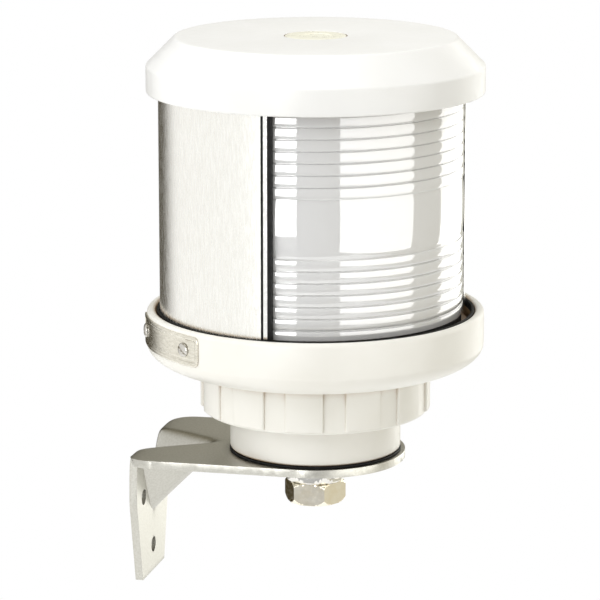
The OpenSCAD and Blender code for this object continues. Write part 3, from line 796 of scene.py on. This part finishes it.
def soften(piece, width, angle=38.0):
    """Rounds the piece's sharp edges by width millimetres."""
    modifier = piece.modifiers.new("soft_edges", "BEVEL")
    modifier.width, modifier.segments = width * MM, 3
    modifier.limit_method, modifier.angle_limit = "ANGLE", radians(angle)
    modifier.use_clamp_overlap = True
    bpy.context.view_layer.objects.active = piece
    bpy.ops.object.modifier_apply(modifier=modifier.name)
    piece.data.polygons.foreach_set("use_smooth", [True] * len(piece.data.polygons))
    piece.data.set_sharp_from_angle(angle=radians(angle))


# ---------------------------------------------------------------- cable gland

def hexagon_r(flat, angle):
    """Radius of a hexagon, flat millimetres across its flats, in a direction."""
    return flat / 2 / cos(radians(angle % 60 - 30))


def hexagon_turned(name, flat, outline, chamfer, steps=360):
    """A nut: the outline turned about the axis, held inside a hexagon; chamfer(h) rounds its corners."""
    bm = bmesh.new()
    rings = []
    for i in range(steps):
        angle = 360 * i / steps
        rings.append([bm.verts.new(at(min(r, hexagon_r(flat, angle), chamfer(h)), angle, h))
                      for r, h in outline])
    for i in range(steps):
        near, far = rings[i], rings[(i + 1) % steps]
        for k in range(len(outline)):
            bm.faces.new([near[k], near[(k + 1) % len(outline)], far[(k + 1) % len(outline)], far[k]])
    return finish_mesh(name, bm, 24)


def stack(r, low, high, rows=12):
    """Points up a straight side."""
    return [(r, low + (high - low) * i / rows) for i in range(rows + 1)]


BODY_FLAT = 26.2
BODY_HEX = (-14.0, -4.5)
BODY_TUBE_R = 10.0
BODY_BORE_R = 6.0
SEAL_POCKET_R = 7.6
SEAL_POCKET = 8.0
NUT_FLAT = 23.8
NUT_BORE_R = 5.2
NUT_THREAD_R = 10.3
NUT_FLOOR = 1.5
PAST_CORNERS = 40


def chamfer_r(start, rise, distance, height, power):
    """A chamfer's radius, distance millimetres from the end of a nut, over its height."""
    return start + rise * min(1, max(0, distance) / height) ** power


def make_gland():
    """The body's hexagon and tube, and the cap nut under it."""
    hex_low, hex_high = BODY_HEX
    body_low, body_high = span("gland_body")

    def body_chamfer(h):
        return chamfer_r(BODY_FLAT / 2 - 0.6, 2.65, h - hex_low, 3.6, 0.8)

    pocket = body_low + SEAL_POCKET
    outline = [(SEAL_POCKET_R, body_low), (BODY_TUBE_R, body_low), (BODY_TUBE_R, hex_low)]
    outline += stack(PAST_CORNERS, hex_low, hex_high)
    outline += [(BODY_TUBE_R, hex_high), (BODY_TUBE_R, body_high), (BODY_BORE_R, body_high),
                (BODY_BORE_R, pocket), (SEAL_POCKET_R, pocket)]
    hexagon = hexagon_turned("gland_hexagon", BODY_FLAT, outline, body_chamfer)
    place(hexagon, "base", CHROME, "gland_chrome", "gland_body")
    nut_low, nut_high = span("gland_nut")

    def nut_chamfer(h):
        return min(chamfer_r(NUT_FLAT / 2 - 0.6, 2.44, h - nut_low, 2.4, 0.55),
                   chamfer_r(NUT_FLAT / 2 + 0.2, 1.64, nut_high - h, 1.4, 0.6))

    floor = nut_low + NUT_FLOOR
    outline = [(NUT_BORE_R, nut_low)] + stack(PAST_CORNERS, nut_low, nut_high, 26)
    outline += [(NUT_THREAD_R, nut_high), (NUT_THREAD_R, floor), (NUT_BORE_R, floor)]
    nut = hexagon_turned("gland_cap_nut", NUT_FLAT, outline, nut_chamfer)
    place(nut, "gland_cap", NICKEL, "gland_nickel", "gland_nut")


# ---------------------------------------------------------------- lamp

def wire_piece(name, points, thickness, body, material, slot, *nodes):
    """A round wire along points."""
    curve = bpy.data.curves.new(name, "CURVE")
    curve.dimensions = "3D"
    curve.bevel_depth, curve.bevel_resolution, curve.use_fill_caps = thickness * MM, 4, True
    for run in points:
        spline = curve.splines.new("NURBS")
        spline.points.add(len(run) - 1)
        for point, place_at in zip(spline.points, run):
            point.co = (*place_at, 1)
        spline.use_endpoint_u, spline.order_u = True, 3
    piece = bpy.data.objects.new(name, curve)
    bpy.context.scene.collection.objects.link(piece)
    return place(piece, body, material, slot, *nodes)


def beside(x, y, h):
    """A point x and y millimetres from the light's axis."""
    return Vector(((AXIS_X + x) * MM, y * MM, (PLATE_TOP + h) * MM))


GLASS = 0.8
BULB_NECK_R = 12.6
COIL_HALF = 5.6
COIL_R = 1.0
COIL_TURNS = 11
COIL_STEPS = 20


def make_lamp():
    """The blown glass, the coil across the light centre, its two leads and the stem."""
    low, high = span("lamp_bulb")
    r = radius("lamp_bulb")

    def side(inset):
        return ([(BULB_NECK_R - inset, low), (BULB_NECK_R - inset, low + 10)]
                + arc((BULB_NECK_R + 3.2, low + 20), (3.2 + inset, 6), 240, 180, 8)
                + arc((0, LIGHT_CENTRE - 4), (r - inset, 22), -32, 0, 12)
                + arc((0, high - r), (r - inset, r - inset), 0, 90, 24))

    glass = side(0) + list(reversed(side(GLASS)))
    place(turned("lamp_glass", glass, steps=120), "lamp", BULB, "bulb_glass", "lamp_bulb")
    count = COIL_TURNS * COIL_STEPS
    coil = [beside(COIL_HALF * (2 * i / count - 1), COIL_R * cos(2 * pi * i / COIL_STEPS),
                   LIGHT_CENTRE + COIL_R * sin(2 * pi * i / COIL_STEPS)) for i in range(count + 1)]
    leads = [[beside(way * 2.2, 0, low + 14), beside(way * 4.6, 0, low + 24),
              beside(way * 4.6, 0, LIGHT_CENTRE - 6), beside(way * COIL_HALF, 0, LIGHT_CENTRE)]
             for way in (-1, 1)]
    wire_piece("lamp_coil", [coil], 0.16, "lamp", TUNGSTEN, "filament", "lamp_filament")
    wire_piece("lamp_leads", leads, 0.4, "lamp", SCREW, "screw_steel")
    stem = rounded([(0, low - 6), (8, low - 6, 0.4), (7, low, 1), (4.2, low + 16, 1), (3.2, low + 22, 1),
                    (0, low + 22)])
    stem = [(x, max(h, span("lamp_filament")[0])) for x, h in stem]
    place(turned("lamp_stem", stem, steps=64), "lamp", BULB, "bulb_glass")


def make_wires():
    """The two sleeved wires from the terminal block up to the lamp holder."""
    runs = [[beside(15.9, s * 5.5, 11.5), beside(13.4, s * 5.5, 11.8), beside(12.2, s * 6, 15),
             beside(11.8, s * 8, 24), beside(12, s * 9, 34), beside(14, s * 12, 42), beside(18, s * 12, 47),
             beside(20, s * 9, 51), beside(20, s * 6, 55), beside(19.6, s * 5, 59)] for s in (-1, 1)]
    wire_piece("lamp_wire_pair", runs, 0.95, "base", SLEEVE, "wire_sleeve", "lamp_wires")


# ---------------------------------------------------------------- build

make_foot()
make_union_ring()
make_collar()
make_lens()
make_shield()
make_window_edge()
make_lid()
make_nameplate()
make_nameplate_screws()
make_bracket()
make_gland()
make_lamp()
make_wires()

for subpart in frame["record"]["subparts"]:
    part = frame["nodes"][subpart["node"]]
    part.data.materials.clear()
    part.data.materials.append(BY_SLOT[subpart["material_slot"]])


# ---------------------------------------------------------------- stage, light and camera

CAMERA_TURN = 13.0
CAMERA_RISE = 11.17
CAMERA_DISTANCE = 1.4088
CAMERA_LENS = 194.8
TARGET_HEIGHT = 99.9
AIM_LEFT = 0.0067
AIM_DOWN = 0.033
FLOOR_DROP = 0.3
FLOOR_SIZE = 1.6
FLOOR_GLOW = 0.05
# Brightness round the light: 0 is ahead (-Y), 0.25 inboard (-X), 0.5 astern (+Y), 0.75 outboard.
AROUND = (
    (0.0, (0.50, 0.50, 0.50)), (0.045, (0.55, 0.55, 0.55)), (0.055, (1.0, 1.0, 0.98)),
    (0.31, (1.0, 0.99, 0.97)), (0.365, (0.05, 0.04, 0.02)), (0.43, (0.05, 0.04, 0.02)),
    (0.47, (0.60, 0.58, 0.50)), (0.56, (0.66, 0.65, 0.57)), (0.64, (0.66, 0.63, 0.53)),
    (0.80, (0.66, 0.63, 0.53)), (0.92, (0.50, 0.49, 0.47)), (1.0, (0.50, 0.50, 0.50)),
)
# What is overhead, as it lights the model and as metal and glass mirror it, and where it starts
# and is complete, as the height of a direction from 0 (level) to 1 (straight up).
OVERHEAD = (1.35, 1.35, 1.36)
OVERHEAD_MIRRORED = (0.30, 0.27, 0.19)
OVERHEAD_FROM = 0.30
OVERHEAD_WHOLE = 0.85
# Name, turn, rise, distance, width, height, power, whether matt surfaces see it, whether mirrors do.
SOFTBOXES = (
    ("left_box", -9.5, 5, 1.6, 0.46, 1.0, 6.5, False, True),
    ("right_box", 62, 1, 1.6, 1.9, 1.4, 13, False, True),
    ("back_box", 147, 1, 1.6, 1.35, 1.4, 9.5, False, True),
    ("key_light", -28, 18, 1.6, 1.4, 1.2, 8.3, True, False),
    ("top_light", 0, 80, 1.5, 1.0, 1.0, 3.5, True, True),
)


def round_the_light(turn, rise, distance):
    """A place seen from the light in a direction: turn 0 is ahead (-Y), 90 is outboard (+X)."""
    a, e = radians(turn), radians(rise)
    target = beside(0, 0, TARGET_HEIGHT)
    return target + distance * Vector((sin(a) * cos(e), -cos(a) * cos(e), sin(e)))


def make_camera():
    """Looks at the light from the photo's angle, aimed a little left and down to frame the bracket."""
    camera = bpy.data.objects.new("camera", bpy.data.cameras.new("camera"))
    bpy.context.scene.collection.objects.link(camera)
    camera.location = round_the_light(CAMERA_TURN, CAMERA_RISE, CAMERA_DISTANCE)
    target = beside(0, 0, TARGET_HEIGHT)
    forward = target - camera.location
    right = forward.cross(Vector((0, 0, 1))).normalized()
    up = right.cross(forward).normalized()
    aim = target - right * AIM_LEFT - up * AIM_DOWN
    camera.rotation_euler = (aim - camera.location).to_track_quat("-Z", "Y").to_euler()
    camera.data.sensor_width, camera.data.lens = 36, CAMERA_LENS
    camera.data.clip_start, camera.data.clip_end = 0.05, 50
    bpy.context.scene.camera = camera


def make_softbox(name, turn, rise, distance, width, height, power, diffuse, glossy):
    """A rectangular light that faces the model."""
    data = bpy.data.lights.new(name, "AREA")
    data.shape, data.size, data.size_y, data.energy = "RECTANGLE", width, height, power
    lamp = bpy.data.objects.new(name, data)
    lamp.visible_diffuse, lamp.visible_glossy = diffuse, glossy
    lamp.location = round_the_light(turn, rise, distance)
    lamp.rotation_euler = (beside(0, 0, TARGET_HEIGHT) - lamp.location).to_track_quat("-Z", "Y").to_euler()
    bpy.context.scene.collection.objects.link(lamp)


def make_world():
    """White to the camera; to the model, tones that change round the light and with height."""
    world = bpy.data.worlds.new("studio")
    bpy.context.scene.world = world
    world.use_nodes = True
    nodes, links = world.node_tree.nodes, world.node_tree.links
    nodes.clear()
    coords = nodes.new("ShaderNodeTexCoord")
    split = nodes.new("ShaderNodeSeparateXYZ")
    links.new(coords.outputs["Generated"], split.inputs[0])
    turn = nodes.new("ShaderNodeMath")
    turn.operation = "ARCTAN2"
    links.new(split.outputs["X"], turn.inputs[0])
    links.new(split.outputs["Y"], turn.inputs[1])
    spread = nodes.new("ShaderNodeMapRange")
    spread.inputs["From Min"].default_value = -pi
    spread.inputs["From Max"].default_value = pi
    links.new(turn.outputs[0], spread.inputs["Value"])
    ramp = nodes.new("ShaderNodeValToRGB")
    stops = ramp.color_ramp.elements
    while len(stops) > 1:
        stops.remove(stops[-1])
    stops[0].position, stops[0].color = AROUND[0][0], (*AROUND[0][1], 1)
    for where, tone in AROUND[1:]:
        stops.new(where).color = (*tone, 1)
    links.new(spread.outputs["Result"], ramp.inputs["Fac"])
    height = nodes.new("ShaderNodeMapRange")
    height.interpolation_type = "SMOOTHSTEP"
    height.inputs["From Min"].default_value = OVERHEAD_FROM
    height.inputs["From Max"].default_value = OVERHEAD_WHOLE
    links.new(split.outputs["Z"], height.inputs["Value"])
    path = nodes.new("ShaderNodeLightPath")
    ceiling, room = nodes.new("ShaderNodeMix"), nodes.new("ShaderNodeMix")
    ceiling.data_type = room.data_type = "RGBA"
    links.new(path.outputs["Is Glossy Ray"], ceiling.inputs["Factor"])
    for socket, tone in zip(color_sockets(ceiling.inputs), (OVERHEAD, OVERHEAD_MIRRORED)):
        socket.default_value = (*tone, 1)
    links.new(height.outputs["Result"], room.inputs["Factor"])
    below, above = color_sockets(room.inputs)
    links.new(ramp.outputs["Color"], below)
    links.new(color_sockets(ceiling.outputs)[0], above)
    lit, plain = nodes.new("ShaderNodeBackground"), nodes.new("ShaderNodeBackground")
    links.new(color_sockets(room.outputs)[0], lit.inputs["Color"])
    plain.inputs["Color"].default_value = (1, 1, 1, 1)
    mix = nodes.new("ShaderNodeMixShader")
    output = nodes.new("ShaderNodeOutputWorld")
    links.new(path.outputs["Is Camera Ray"], mix.inputs["Fac"])
    links.new(lit.outputs[0], mix.inputs[1])
    links.new(plain.outputs[0], mix.inputs[2])
    links.new(mix.outputs[0], output.inputs["Surface"])


def make_floor():
    """A plain pale floor, well below the light."""
    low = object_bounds()[0]
    bpy.ops.mesh.primitive_plane_add(size=FLOOR_SIZE, location=(AXIS_X * MM, 0, low.z - FLOOR_DROP))
    floor = bpy.context.object
    floor.name = "floor"
    shader = Shader("pale_floor", (0.86, 0.86, 0.855), 0.8)
    shader.surface.inputs["Emission Color"].default_value = (1, 1, 1, 1)
    shader.surface.inputs["Emission Strength"].default_value = FLOOR_GLOW
    floor.data.materials.append(shader.material)


make_camera()
make_world()
make_floor()
for softbox in SOFTBOXES:
    make_softbox(*softbox)
bpy.context.scene.view_settings.view_transform = "Standard"
